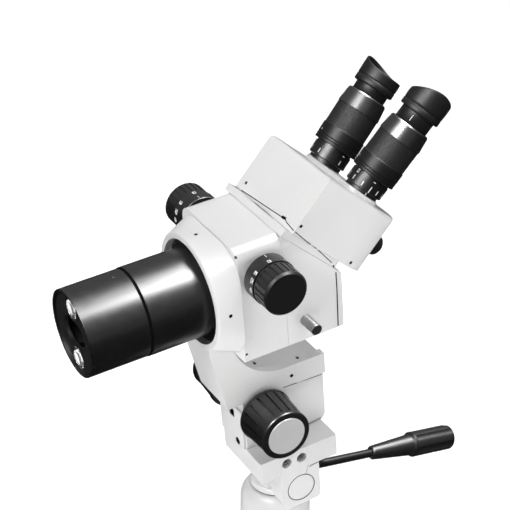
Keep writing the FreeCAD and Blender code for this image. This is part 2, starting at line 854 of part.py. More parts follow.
def front_shell():
    body = body_section(body_front, body_seam - joint_gap)
    body = body.common(below_slant(0))
    body = body.cut(body_cavity(body_front + body_wall, body_seam + 1))
    nose = along_rod(nose_r, body_front - nose_length, body_front + 1, 0, optical_height)
    body = body.fuse(nose)
    body = body.cut(along_rod(light_path_r, body_front - nose_length - 1, body_front + body_wall + 1,
                              0, optical_height))
    for side in (-1, 1):
        body = body.cut(cross_rod(zoom_bush_r, side * (body_half_width - body_wall - 1),
                                  side * (body_half_width + 1), zoom_y, zoom_height))
    keep("front_shell", in_head(one_solid(body)))


def zoom_bushes():
    bushes = []
    for side in (-1, 1):
        shell = cross_rod(zoom_bush_r, side * (body_half_width - body_wall), side * (body_half_width + 0.8),
                          zoom_y, zoom_height)
        hole = cross_rod(zoom_shaft_r + running_gap, side * (body_half_width - 9),
                         side * (body_half_width + 2), zoom_y, zoom_height)
        bushes.append(in_head(shell.cut(hole)))
    keep("zoom_bushes", Part.makeCompound(bushes))


def rear_shell():
    body = body_section(body_seam + joint_gap, body_rear)
    body = body.common(below_slant(0))
    hollow = body_cavity(body_seam, body_rear + 1).common(below_slant(body_wall))
    body = body.cut(hollow)
    path = rod(dovetail_bore_r, vec(0, dovetail_slant, slant_offset - 10),
               vec(0, dovetail_slant, slant_offset + 10))
    path.rotate(vec(0, 0, 0), vec(1, 0, 0), -slant_angle)
    path.translate(vec(0, body_axis_y, optical_height))
    body = body.cut(path)
    body = body.cut(cross_rod(filter_guide_r, body_half_width - body_wall - 1, body_half_width + 1,
                              filter_y, filter_height))
    keep("rear_shell", in_head(one_solid(body)))


def rear_cover():
    body = body_section(cover_inner, cover_outer)
    body = body.common(below_slant(0))
    body = rounded(body, 1.5, lambda edge: edge.CenterOfMass.y > cover_outer - 0.1 and edge.Length > 10)
    body = body.cut(along_rod(jack_shell_r + joint_gap, cover_inner - 1, cover_outer + 1, jack_x,
                              body_low + jack_level))
    for x in (-1, 1):
        for z in (body_low + 9, body_low + 46):
            body = body.cut(along_rod(1.7, cover_inner - 1, cover_outer + 1, x * (body_half_width - 9), z))
    keep("rear_cover", in_head(one_solid(body)))


def cover_screws():
    screws = []
    for x in (-1, 1):
        for z in (body_low + 9, body_low + 46):
            screw = set_screw(1.65, cover_thickness - 0.2)
            screw.rotate(vec(0, 0, 0), vec(1, 0, 0), -90)
            screw.translate(vec(x * (body_half_width - 9), cover_outer - 0.3, z))
            screws.append(in_head(screw))
    keep("cover_screws", Part.makeCompound(screws))


def power_socket():
    """Round low-voltage inlet for the lamps, in the rear cover."""
    z = body_low + jack_level
    shell = along_rod(jack_shell_r, cover_inner, cover_outer + 1.2, jack_x, z)
    mouth = along_rod(jack_bore_r, cover_outer + 1.2 - jack_depth, cover_outer + 3, jack_x, z)
    keep("power_socket", in_head(one_solid(shell.cut(mouth))))


def mount_flange():
    """Black ring that carries the objective barrel inside the clamp ring."""
    back = body_front - nose_length - joint_gap
    outer = along_rod(nose_r - 0.6, back - 4.0, back, 0, optical_height)
    hole = along_rod(barrel_r - barrel_wall - joint_gap, back - 6, back + 1, 0, optical_height)
    step = along_rod(nose_r - 4, back - 5, back - 2, 0, optical_height)
    step = step.cut(along_rod(barrel_r + 3.5, back - 6, back, 0, optical_height))
    keep("mount_flange", in_head(one_solid(outer.cut(hole).cut(step))))


def barrel_rear():
    back = body_front - nose_length - joint_gap - 4.0 - joint_gap
    outer = barrel_r + barrel_step
    inner = barrel_r - barrel_wall
    body = along_rod(outer, barrel_joint + barrel_groove / 2, back, 0, optical_height)
    body = body.cut(along_rod(inner, barrel_joint - 1, back + 1, 0, optical_height))
    keep("barrel_rear", in_head(body))


def barrel_front_tube():
    inner = barrel_r - barrel_wall
    body = along_rod(barrel_r, barrel_front, barrel_joint - barrel_groove / 2, 0, optical_height)
    neck = along_rod(barrel_r - 1.0, barrel_joint - 2, barrel_joint + barrel_groove / 2, 0, optical_height)
    body = body.fuse(neck)
    body = body.cut(along_rod(inner, barrel_front - 1, barrel_joint + 3, 0, optical_height))
    body = one_solid(body)
    rim = [edge for edge in body.Edges if isinstance(edge.Curve, Part.Circle) and
           abs(edge.Curve.Center.y - barrel_front) < 0.1]
    body = body.makeChamfer(0.5, rim)
    keep("barrel_front", in_head(body))


def viewing_slot(y0, y1, extra):
    """Long round-ended opening across the barrel."""
    r = opening_end_r + extra
    h = opening_half_spacing
    slot = block(-h, h, y0, y1, optical_height - r, optical_height + r)
    return slot.fuse([along_rod(r, y0, y1, x, optical_height) for x in (-h, h)])


def front_plate():
    """Recessed plate with two lamp windows and the central viewing opening."""
    y0 = barrel_front + front_recess
    body = along_rod(barrel_r - barrel_wall - 0.05, y0, y0 + front_plate_thickness, 0, optical_height)
    body = body.cut(viewing_slot(y0 - 1, y0 + 5, 0))
    for side in (-1, 1):
        z = optical_height + side * window_offset
        body = body.cut(along_rod(window_r, y0 - 1, y0 + 5, 0, z))
    keep("front_plate", in_head(one_solid(body)))


def lamp_parts():
    y0 = barrel_front + front_recess
    cups = []
    lenses = []
    for side in (-1, 1):
        z = optical_height + side * window_offset
        back = y0 + lamp_depth
        cup = along_rod(window_r - 0.1, y0 + 0.4, back, 0, z)
        cone = Part.makeCone(window_r - 1.2, 3.0, lamp_depth - 3.4, vec(0, y0, z), vec(0, 1, 0))
        cup = cup.cut(cone)
        cups.append(in_head(one_solid(cup)))
        ball = Part.makeSphere(window_r * 1.3, vec(0, y0 + 1.2 + window_r * 0.95, z))
        lens = ball.common(along_rod(window_r - 2.3, y0 - 4, y0 + 1.6, 0, z))
        lenses.append(in_head(one_solid(lens)))
    keep("lamp_cups", Part.makeCompound(cups))
    keep("lamp_lenses", Part.makeCompound(lenses))


def objective_lens():
    ring = along_rod(barrel_r - barrel_wall - 0.05, objective_y, objective_y + 6, 0, optical_height)
    ring = ring.cut(along_rod(objective_r + joint_gap / 3, objective_y - 1, objective_y + 8, 0, optical_height))
    keep("objective_cell", in_head(ring))
    radius = 60.0
    ball = Part.makeSphere(radius, vec(0, objective_y + radius, optical_height))
    lens = ball.common(along_rod(objective_r, objective_y - 1, objective_y + 5, 0, optical_height))
    keep("objective_lens", in_head(one_solid(lens)))


def zoom_shaft():
    reach = zoom_outer - 9.0
    shaft = cross_rod(zoom_shaft_r, -reach, reach, zoom_y, zoom_height)
    drum = cross_rod(11.0, -22, 22, zoom_y, zoom_height)
    keep("zoom_shaft", in_head(one_solid(shaft.fuse(drum))))


def zoom_knob(side):
    """Collar, numbered skirt, ribbed grip and a flat cap with a bevelled rim."""
    length = zoom_outer - zoom_knob_start
    skirt = zoom_collar_length
    skirt_high = skirt + zoom_skirt_length
    grip = skirt_high + 1.0
    hub = length - 8.8
    profile = [(zoom_shaft_r, 0), (zoom_collar_r, 0), (zoom_collar_r, skirt), (zoom_skirt_r - 0.5, skirt),
               (zoom_skirt_r, skirt + 0.5), (zoom_skirt_r, skirt_high), (zoom_skirt_r - 1.4, skirt_high),
               (zoom_skirt_r - 1.4, grip), (zoom_grip_r, grip + 0.4), (zoom_grip_r, length - 1.8),
               (zoom_grip_r - 1.8, length), (0, length), (0, hub), (zoom_shaft_r, hub)]
    body = turned(profile)
    for k in range(zoom_ribs):
        groove = block(zoom_grip_r - 0.8, zoom_grip_r + 2, -0.9, 0.9, grip + 1.6, length - 2.6)
        groove.rotate(vec(0, 0, 0), vec(0, 0, 1), 360.0 * k / zoom_ribs)
        body = body.cut(groove)
    body = one_solid(body)
    body.rotate(vec(0, 0, 0), vec(0, 1, 0), 90 * side)
    body.translate(vec(side * zoom_knob_start, zoom_y, zoom_height))
    return in_head(body)


def zoom_parts():
    zoom_shaft()
    keep("zoom_knob_left", zoom_knob(-1))
    keep("zoom_knob_right", zoom_knob(1))


def filter_parts():
    """Push-pull filter control: a stub outside, frame and glass inside."""
    stub = cross_rod(filter_rod_r, filter_inner, filter_outer, filter_y, filter_height)
    stub = stub.makeChamfer(0.6, [edge for edge in stub.Edges if isinstance(edge.Curve, Part.Circle)])
    keep("filter_rod", in_head(stub))
    glass_r = filter_inner / 2
    glass_z = filter_height + 10.0
    frame = block(-filter_inner + 4, filter_inner, filter_y - 2, filter_y + 2, filter_height - 6,
                  glass_z + glass_r + 4)
    hole = along_rod(glass_r, filter_y - 3, filter_y + 3, 2, glass_z)
    keep("filter_frame", in_head(one_solid(frame.cut(hole))))
    keep("filter_glass", in_head(along_rod(glass_r - running_gap, filter_y - 1, filter_y + 1, 2, glass_z)))


def head_seat():
    """Seat between the body's slanted face and the binocular head."""
    w = body_half_width - 0.4
    body = block(-w, w, seat_front, seat_rear, slant_offset + joint_gap, slant_offset + seat_thickness)
    body = rounded(body, 8.0, lambda edge: runs_along(edge, vec(0, 0, 1)) and edge.CenterOfMass.y > seat_rear - 1)
    centre = dovetail_slant
    body = body.cut(rod(dovetail_r + joint_gap, vec(0, centre, slant_offset + 1.5), vec(0, centre, head_low + 5)))
    body = body.cut(rod(dovetail_bore_r, vec(0, centre, slant_offset - 5), vec(0, centre, head_low + 5)))
    keep("head_seat", on_slant(one_solid(body)))


def head_outline(inset):
    """Plan of the head: flat front, straight cheeks and a round rear."""
    front = head_front + inset
    half = head_half_width - inset
    middle = head_rear - head_half_width
    return [
        Part.makeLine(vec(-half, front, 0), vec(half, front, 0)),
        Part.makeLine(vec(half, front, 0), vec(half, middle, 0)),
        Part.Arc(vec(half, middle, 0), vec(0, middle + half, 0), vec(-half, middle, 0)).toShape(),
        Part.makeLine(vec(-half, middle, 0), vec(-half, front, 0)),
    ]


def head_prism(inset, z0, z1):
    body = plate_from(head_outline(inset), vec(0, 0, z1 - z0))
    body.translate(vec(0, 0, z0))
    return body


def eye_slot(side, z0, z1, radius):
    """Long hole for an eye tube's travel across the head."""
    x = side * eye_spacing / 2
    inner = x - side * eye_travel_in
    outer = x + side * eye_travel_out
    ends = [rod(radius, vec(place, eye_slant, z0), vec(place, eye_slant, z1)) for place in (inner, outer)]
    middle = block(min(inner, outer), max(inner, outer), eye_slant - radius, eye_slant + radius, z0, z1)
    return middle.fuse(ends)


def head_housing():
    body = head_prism(0, head_low, head_high)
    body = rounded(body, head_edge_round, lambda edge: edge.CenterOfMass.z > head_high - 0.1)
    plateau = block(-plateau_half_spacing, plateau_half_spacing, eye_slant - plateau_r, eye_slant + plateau_r,
                    head_high - 1, head_high + plateau_height)
    for x in (-plateau_half_spacing, plateau_half_spacing):
        plateau = plateau.fuse(rod(plateau_r, vec(x, eye_slant, head_high - 1),
                                   vec(x, eye_slant, head_high + plateau_height)))
    plateau = rounded(one_solid(plateau), 0.8, lambda edge: edge.CenterOfMass.z > head_high + plateau_height - 0.1)
    body = body.fuse(plateau)
    body = body.cut(head_prism(head_wall, head_low - 1, head_high - head_wall))
    lean = math.tan(math.radians(eye_splay)) * (plateau_height + 2.0)
    for side in (-1, 1):
        body = body.cut(eye_slot(side, head_high - head_wall - 2, head_high + plateau_height + 1,
                                 tube_r + 0.3 + lean))
    for place, inward in head_screw_places():
        body = body.cut(rod(head_screw_r + 0.05, place - inward, place + inward * (head_wall + 1)))
    body = body.cut(rod(knob_neck_r + running_gap, vec(0, head_rear - head_wall - 1, knob_level),
                        vec(0, head_rear + 1, knob_level)))
    keep("head_housing", on_slant(one_solid(body)))


def head_base():
    """Floor plate of the head with the round spigot that sits in the seat."""
    floor = head_prism(head_wall + joint_gap, head_low + 0.2, head_low + 4.2)
    centre = dovetail_slant
    spigot = rod(dovetail_r, vec(0, centre, slant_offset + 1.8), vec(0, centre, head_low - seat_gap))
    neck = rod(dovetail_r, vec(0, centre, head_low - 1), vec(0, centre, head_low + 1))
    neck = neck.common(head_prism(head_wall + joint_gap, head_low - 1, head_low + 1))
    body = floor.fuse([spigot, neck])
    body = body.cut(rod(dovetail_bore_r, vec(0, centre, head_low - 20), vec(0, centre, head_low + 20)))
    keep("head_base", on_slant(one_solid(body)))


def head_screw_places():
    """Surface points of the head's set screws, each with its inward direction."""
    places = [(vec(front_screw_x, head_front, head_low + front_screw_level), vec(0, 1, 0))]
    bend = rear_screw_slant - (head_rear - head_half_width)
    rear_x = math.sqrt(head_half_width ** 2 - bend ** 2)
    for side in (-1, 1):
        inward = vec(-side, 0, 0)
        places.append((vec(side * head_half_width, side_screw_slant, head_low + side_screw_level), inward))
        places.append((vec(side * rear_x, rear_screw_slant, head_low + rear_screw_level), inward))
    return places


def head_screws():
    """Small set screws low in the head's front and sides."""
    screws = []
    for place, inward in head_screw_places():
        screw = set_screw(head_screw_r, head_wall - 0.6)
        if inward.y > 0:
            screw.rotate(vec(0, 0, 0), vec(1, 0, 0), 90)
        else:
            screw.rotate(vec(0, 0, 0), vec(0, 1, 0), -90 * inward.x)
        screw.translate(place + inward * 0.2)
        screws.append(on_slant(screw))
    keep("head_screws", Part.makeCompound(screws))


def spacing_knob():
    """Rounded knob at the rear that sets the distance between the eyepieces."""
    gap = 0.6
    start = gap
    profile = [(0, -14), (knob_neck_r, -14), (knob_neck_r, start), (knob_r - 2.2, start),
               (knob_r - 2.2, start + 5), (knob_r, start + 9), (knob_r, knob_reach - 9),
               (knob_r - 1.4, knob_reach - 4.5), (knob_r - 4.4, knob_reach - 1.2), (0, knob_reach)]
    body = turned(profile)
    body.rotate(vec(0, 0, 0), vec(1, 0, 0), -90)
    body.translate(vec(0, head_rear, knob_level))
    keep("spacing_knob", on_slant(body))


def eye_tube(name, side):
    """Base ring, slider and carrying tube of one eyepiece, clear of the head's top wall."""
    slide_low = head_wall + seat_gap
    base = rod(base_r, vec(0, 0, base_low - 1), vec(0, 0, base_low + base_height))
    slider = rod(tube_r + 4, vec(0, 0, -slide_low - 4), vec(0, 0, -slide_low + 1))
    wall = block(-30, 30, -30, 30, -slide_low, base_low)
    wall.rotate(vec(0, 0, 0), vec(0, 1, 0), -side * eye_splay)
    flanges = base.fuse(slider).cut(wall)
    tube = rod(tube_r, vec(0, 0, -slide_low - 16), vec(0, 0, diopter_high + 1))
    collar = rod(tube_r + 3, vec(0, 0, base_low + base_height - 1), vec(0, 0, diopter_high + 1))
    body = tube.fuse([flanges, collar])
    body = body.cut(rod(tube_r - 1.5, vec(0, 0, -40), vec(0, 0, diopter_high + 2)))
    keep("eye_tube_" + name, on_eye(one_solid(body), side))


def diopter_scale(name, side):
    bore = tube_r + 3 + running_gap
    profile = [(bore, diopter_low), (diopter_r - 0.6, diopter_low), (diopter_r, diopter_low + 0.6),
               (diopter_r, diopter_high - 3.2), (diopter_r - 0.8, diopter_high - 3.2),
               (diopter_r - 0.8, diopter_high), (bore, diopter_high)]
    keep("diopter_scale_" + name, on_eye(turned(profile), side))


def eyepiece(name, side):
    """Grip ring with two grooves, then the bright line and the tapering band."""
    stem = tube_r - 1.5 - running_gap
    low = grip_low + diopter_lift
    skirt = diopter_r + running_gap + 0.2
    groove = 0.5
    g1 = low + 2.2
    g2 = low + 4.6
    r = grip_ring_r
    floor = diopter_high + 1 + diopter_lift + 0.4
    inner = sleeve_r - 1.6
    stem_low = base_low + 3.0
    profile = [(stem - 1.5, stem_low), (stem, stem_low), (stem, floor), (skirt, floor), (skirt, low),
               (r - 0.6, low), (r, low + 0.5), (r, g1), (r - groove, g1 + 0.3), (r, g1 + 0.8), (r, g2),
               (r - groove, g2 + 0.3), (r, g2 + 0.8), (r, grip_high - 0.6), (r - 0.6, grip_high),
               (inner, grip_high), (inner, sleeve_high), (band_r + 0.1, sleeve_high), (band_r, sleeve_high + 0.8),
               (band_end_r, band_high - 1.2), (band_end_r - 1.0, band_high), (neck_r + running_gap, band_high),
               (neck_r + running_gap, band_high - 14), (stem - 1.5, band_high - 14)]
    keep("eyepiece_" + name, on_eye(turned(profile), side))


def eye_sleeve(name, side):
    profile = [(sleeve_r - 1.58, grip_high + 0.05), (sleeve_r, grip_high + 0.05),
               (sleeve_r, sleeve_high - 0.05), (sleeve_r - 1.58, sleeve_high - 0.05)]
    keep("eye_sleeve_" + name, on_eye(turned(profile), side))


def cup_raise(side):
    return right_cup_raise if side > 0 else 0.0


def eyecup(name, side):
    """Neck and rubber cup, its rim rising to a rounded wing on the outer side."""
    low = band_high + neck_show + cup_raise(side)
    high = low + cup_height
    wall = 1.8
    reach = high + cup_wing + 6
    profile = [(neck_r - 1.6, band_high - 7), (neck_r, band_high - 7), (neck_r, low), (cup_r - 0.6, low),
               (cup_r, low + 0.8), (cup_r, high - 4), (cup_r - 0.8, reach), (cup_r - 0.8 - wall, reach),
               (cup_r - wall, high - 4), (cup_r - wall - 0.6, low + 2.5), (neck_r - 1.6, low + 2.5)]
    body = turned(profile)
    lean = math.atan2(cup_wing, 2 * cup_r)
    trim_r = cup_r * 1.5
    slab = block(-60, 60, -60, 60, -trim_r, 60)
    hill = rod(trim_r, vec(0, -60, 0), vec(0, 60, 0))
    knife = slab.cut(hill)
    knife.rotate(vec(0, 0, 0), vec(0, 1, 0), -math.degrees(lean))
    knife.translate(vec(cup_r * 0.35, 0, high + cup_wing - trim_r))
    knife.rotate(vec(0, 0, 0), vec(0, 0, 1), cup_turn if side < 0 else -cup_turn)
    if side < 0:
        knife.rotate(vec(0, 0, 0), vec(0, 0, 1), 180)
    keep("eyecup_" + name, on_eye(one_solid(body.cut(knife)), side))


def eye_lens(name, side):
    low = band_high - 13.5
    r = neck_r - 1.7
    flat = rod(neck_r - running_gap, vec(0, 0, low), vec(0, 0, low + 2))
    dome = Part.makeSphere(40, vec(0, 0, low + 5 - 40)).common(rod(r, vec(0, 0, low), vec(0, 0, low + 6)))
    keep("eye_lens_" + name, on_eye(one_solid(flat.fuse(dome)), side))


def eyepieces():
    for name, side in (("left", -1), ("right", 1)):
        eye_tube(name, side)
        diopter_scale(name, side)
        eyepiece(name, side)
        eye_sleeve(name, side)
        eyecup(name, side)
        eye_lens(name, side)


def build_upper():
    front_shell()
    zoom_bushes()
    rear_shell()
    rear_cover()
    cover_screws()
    power_socket()
    mount_flange()
    barrel_rear()
    barrel_front_tube()
    front_plate()
    lamp_parts()
    objective_lens()
    zoom_parts()
    filter_parts()
    head_seat()
    head_housing()
    head_base()
    head_screws()
    spacing_knob()
    eyepieces()


build_lower()
build_upper()
os.makedirs("parts", exist_ok=True)
for name, shape in parts.items():
    shape.exportStep("parts/" + name + ".step")
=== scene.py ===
import json
import math

import bmesh
import bpy
from mathutils import Matrix, Vector


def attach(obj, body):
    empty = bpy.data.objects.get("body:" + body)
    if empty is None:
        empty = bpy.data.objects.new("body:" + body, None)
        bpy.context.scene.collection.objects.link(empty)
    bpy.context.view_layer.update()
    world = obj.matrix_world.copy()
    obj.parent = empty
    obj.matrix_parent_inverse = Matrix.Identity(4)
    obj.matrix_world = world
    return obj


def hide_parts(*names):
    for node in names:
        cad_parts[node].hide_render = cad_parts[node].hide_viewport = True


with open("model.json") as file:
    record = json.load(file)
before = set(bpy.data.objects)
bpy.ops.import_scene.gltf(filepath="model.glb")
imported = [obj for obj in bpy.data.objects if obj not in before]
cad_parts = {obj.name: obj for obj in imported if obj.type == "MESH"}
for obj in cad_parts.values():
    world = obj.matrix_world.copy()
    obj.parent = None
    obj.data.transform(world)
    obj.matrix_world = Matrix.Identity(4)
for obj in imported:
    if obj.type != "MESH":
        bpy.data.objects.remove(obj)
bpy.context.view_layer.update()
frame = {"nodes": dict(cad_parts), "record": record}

# Sizes and places on the part are in millimetres. The depth of a bump, the floor, the lights and the
# camera are in metres, and the scale of a noise is per metre.
MM = 0.001
QUARTER = math.pi / 2
SIDES = ((-1, "left"), (1, "right"))

# The head is drawn level about its tilt axis, and is then tipped by TILT and lifted to PIVOT
PIVOT = 75.0
TILT = math.radians(4.45)
FOCUS_Y, FOCUS_Z = -20.9, 79.35
FOOT_LIP_Z = 116.5
OPTICAL_Z = 209.1
ZOOM_Y, ZOOM_Z = -23.6, 237.5
ZOOM_SKIRT_R = 20.3
BODY_SEAM = -3.4
BODY_HALF_WIDTH = 48.0
BODY_HALF_HEIGHT = 54.0
BARREL_R = 38.0
BARREL_JOINT = 120.8
BARREL_FRONT = 174.4
GAUGE_LEFT, GAUGE_LOW, GAUGE_SIZE = -3.0, 69.0, 9.0

# The binocular head stands on a seat that slants by 45 degrees
SLANT_OFFSET = 66.5
SLANT_Y = BODY_SEAM + BODY_HALF_HEIGHT - SLANT_OFFSET * math.sqrt(2)
HEAD_TOP = 127.5
EYE_X = 29.0
EYE_ALONG = 49.0
SPLAY = math.radians(3.0)
NECK_R = 15.3
CUP_R = 18.5

# Placed frames. LIFTED is in the scene's metres, and the others turn millimetres into metres.
LIFTED = Matrix.Translation((0, 0, PIVOT * MM)) @ Matrix.Rotation(TILT, 4, "X")
HEAD = LIFTED @ Matrix.Diagonal((MM, MM, MM, 1))
TILT_AXIS = HEAD @ Matrix.Rotation(QUARTER, 4, "Y")
FOCUS_AXIS = HEAD @ Matrix.Translation((0, FOCUS_Y, FOCUS_Z)) @ Matrix.Rotation(QUARTER, 4, "Y")
BARREL_AXIS = HEAD @ Matrix.Translation((0, 0, OPTICAL_Z)) @ Matrix.Rotation(QUARTER, 4, "X")
SLANT = HEAD @ Matrix.Translation((0, SLANT_Y, OPTICAL_Z)) @ Matrix.Rotation(-math.pi / 4, 4, "X")


def eye_frame(side):
    """An eyepiece's frame, with Z along its axis from the top of the binocular head."""
    foot = Matrix.Translation((side * EYE_X, EYE_ALONG, HEAD_TOP))
    return SLANT @ foot @ Matrix.Rotation(side * SPLAY, 4, "Y")


def zoom_frame(side):
    """A zoom knob's frame, with Z outwards along its shaft."""
    return HEAD @ Matrix.Translation((0, ZOOM_Y, ZOOM_Z)) @ Matrix.Rotation(side * QUARTER, 4, "Y")


# Materials

# A wave texture of scale 1 has 20 radians of phase to a unit of length
WAVE_PHASE = 20


def gray(tone):
    return (tone, tone, tone)


class Shader:
    """A Principled material with a few helpers for layered procedural detail."""

    def __init__(self, name, color, rough, metallic=0.0, specular=0.5):
        self.mat = bpy.data.materials.new(name)
        self.mat.use_nodes = True
        self.tree = self.mat.node_tree
        self.bsdf = next(n for n in self.tree.nodes if n.type == "BSDF_PRINCIPLED")
        self.bsdf.inputs["Base Color"].default_value = (*color, 1)
        self.bsdf.inputs["Roughness"].default_value = rough
        self.bsdf.inputs["Metallic"].default_value = metallic
        self.bsdf.inputs["Specular IOR Level"].default_value = specular
        self.coord = self.tree.nodes.new("ShaderNodeTexCoord").outputs["Object"]
        self.normal = None

    def node(self, kind, **inputs):
        n = self.tree.nodes.new(kind)
        for key, value in inputs.items():
            n.inputs[key].default_value = value
        return n

    def link(self, output, socket):
        self.tree.links.new(output, socket)

    def noise(self, scale, detail, stretch=None):
        n = self.node("ShaderNodeTexNoise", Scale=scale, Detail=detail, Roughness=0.5)
        source = self.coord
        if stretch:
            m = self.node("ShaderNodeMapping", Scale=stretch)
            self.link(source, m.inputs["Vector"])
            source = m.outputs["Vector"]
        self.link(source, n.inputs["Vector"])
        return n.outputs["Fac"]

    def cells(self, scale):
        n = self.node("ShaderNodeTexVoronoi", Scale=scale)
        self.link(self.coord, n.inputs["Vector"])
        return n.outputs["Distance"]

    def placed(self, matrix):
        """The surface point in a placed frame, in millimetres."""
        place, turn, size = matrix.inverted().decompose()
        m = self.node("ShaderNodeMapping", Location=place, Rotation=turn.to_euler(), Scale=size)
        self.link(self.coord, m.inputs["Vector"])
        return m.outputs["Vector"]

    def wave(self, matrix, pitch, distortion, detail):
        """A wave texture in a placed frame, with `pitch` millimetres from crest to crest."""
        scale = 2 * math.pi / (WAVE_PHASE * pitch)
        w = self.node("ShaderNodeTexWave", Scale=scale, Distortion=distortion, Detail=detail)
        self.link(self.placed(matrix), w.inputs["Vector"])
        return w

    def rings(self, matrix, pitch):
        """Turned marks: bands along a placed frame's Z."""
        w = self.wave(matrix, pitch, distortion=0.6, detail=2.0)
        w.bands_direction = "Z"
        return w.outputs["Fac"]

    def turned(self, matrix, pitch):
        """Turned face: rings about a placed frame's Z."""
        w = self.wave(matrix, pitch, distortion=0.4, detail=1.0)
        w.wave_type = "RINGS"
        w.rings_direction = "Z"
        return w.outputs["Fac"]

    def ranged(self, fac, low, high, from_low=0.3, from_high=0.7):
        n = self.node("ShaderNodeMapRange")
        n.inputs["From Min"].default_value = from_low
        n.inputs["From Max"].default_value = from_high
        n.inputs["To Min"].default_value = low
        n.inputs["To Max"].default_value = high
        self.link(fac, n.inputs["Value"])
        return n.outputs["Result"]

    def color(self, fac, dark, light):
        n = self.tree.nodes.new("ShaderNodeValToRGB")
        for element, place, shade in zip(n.color_ramp.elements, (0.3, 0.7), (dark, light)):
            element.position = place
            element.color = (*shade, 1)
        self.link(fac, n.inputs["Fac"])
        self.link(n.outputs["Color"], self.bsdf.inputs["Base Color"])
        return self

    def rough(self, fac, low, high):
        self.link(self.ranged(fac, low, high), self.bsdf.inputs["Roughness"])
        return self

    def bump(self, fac, depth):
        """Depth in metres. Bumps add up."""
        n = self.node("ShaderNodeBump", Strength=1.0, Distance=depth)
        self.link(fac, n.inputs["Height"])
        if self.normal:
            self.link(self.normal, n.inputs["Normal"])
        self.normal = n.outputs["Normal"]
        self.link(self.normal, self.bsdf.inputs["Normal"])
        return self

    def set(self, **values):
        for key, value in values.items():
            self.bsdf.inputs[key.replace("_", " ")].default_value = value
        return self


def paint(name, tone, rough, depth):
    """Sprayed enamel: slight tone drift, orange peel and fine speckle in the gloss."""
    s = Shader(name, gray(tone), rough, specular=0.16)
    s.color(s.noise(scale=18, detail=4), dark=gray(tone * 0.965), light=(tone, tone, tone * 0.995))
    s.rough(s.noise(scale=90, detail=5), low=rough - 0.05, high=rough + 0.06)
    s.bump(s.noise(scale=420, detail=2), depth)
    s.bump(s.noise(scale=2600, detail=2), depth * 0.35)
    return s.set(Coat_Weight=0.1, Coat_Roughness=0.18)


def black(name, tone, rough, grain, depth, specular=0.3):
    """Black finish with a faint drift of tone and gloss, and grain of a scale and depth."""
    s = Shader(name, gray(tone), rough, specular=specular)
    s.color(s.noise(scale=60, detail=4), dark=gray(tone * 0.9), light=(tone * 1.1, tone * 1.1, tone * 1.12))
    s.rough(s.noise(scale=160, detail=4), low=rough - 0.02, high=rough + 0.03)
    return s.bump(s.noise(scale=grain, detail=3), depth)


def metal(name, tone, rough, depth=0.00001, stretch=None):
    """Machined metal. A stretch below 1 draws its tool marks out along that axis."""
    s = Shader(name, gray(tone), rough, metallic=1.0)
    s.color(s.noise(scale=80, detail=3), dark=gray(tone * 0.88), light=gray(tone))
    s.rough(s.noise(scale=700, detail=4, stretch=stretch), low=rough - 0.07, high=rough + 0.09)
    return s.bump(s.noise(scale=1800, detail=2, stretch=stretch), depth)


def lens(name, color):
    s = Shader(name, color, rough=0.03)
    s.color(s.noise(scale=30, detail=2), dark=[c * 0.96 for c in color], light=color)
    s.rough(s.noise(scale=300, detail=3), low=0.02, high=0.05)
    return s.set(Transmission_Weight=1.0, IOR=1.5, Coat_Weight=0.6, Coat_Roughness=0.04)


def leatherette():
    """Grained band round the eyepieces."""
    s = black("grained_band", tone=0.012, rough=0.5, grain=1200, depth=0.00004, specular=0.2)
    return s.bump(s.cells(scale=1150), depth=0.00022)


def silver_disc():
    """Caps in the ends of the focus knobs, with fine turned rings."""
    s = Shader("silver_disc", (0.80, 0.80, 0.79), rough=0.34, metallic=0.4)
    s.color(s.noise(scale=40, detail=3), dark=gray(0.77), light=(0.83, 0.83, 0.82))
    s.rough(s.noise(scale=500, detail=4), low=0.28, high=0.42)
    return s.bump(s.turned(FOCUS_AXIS, pitch=0.45), depth=0.000012)


def eyepiece_black(side, word):
    """Turned black of an eyepiece, satin up to one height and glossy from another, towards the cup."""
    satin_top, gloss_foot = 45, 52
    s = black("turned_ring_" + word, tone=0.007, rough=0.24, grain=1500, depth=0.000003, specular=0.6)
    s.bump(s.rings(eye_frame(side), pitch=0.7), depth=0.000001)
    parts = s.node("ShaderNodeSeparateXYZ")
    s.link(s.placed(eye_frame(side)), parts.inputs["Vector"])
    for socket, satin, gloss in (("Roughness", 0.44, 0.30), ("Specular IOR Level", 0.16, 1.0)):
        s.link(s.ranged(parts.outputs["Z"], satin, gloss, satin_top, gloss_foot), s.bsdf.inputs[socket])
    return s


def knurled_steel():
    """Filter rod, with rings cut round it."""
    s = metal("knurled_stub", tone=0.36, rough=0.36, stretch=(0.1, 1, 1))
    return s.bump(s.rings(TILT_AXIS, pitch=1.1), depth=0.00012)


def white_ink():
    """Print of the scales and numbers."""
    s = Shader("white_ink", (0.85, 0.85, 0.84), rough=0.5)
    s.color(s.noise(scale=900, detail=3), dark=(0.74, 0.74, 0.73), light=(0.88, 0.88, 0.87))
    return s.bump(s.noise(scale=3000, detail=2), depth=0.00001)


def pale_floor():
    """Pale ground that glows a little, so that it stays even to the horizon."""
    s = Shader("pale_floor", gray(0.93), rough=0.8)
    s.color(s.noise(scale=3, detail=2), dark=gray(0.92), light=gray(0.94))
    s.bsdf.inputs["Emission Color"].default_value = (1, 1, 1, 1)
    return s.set(Emission_Strength=0.55)


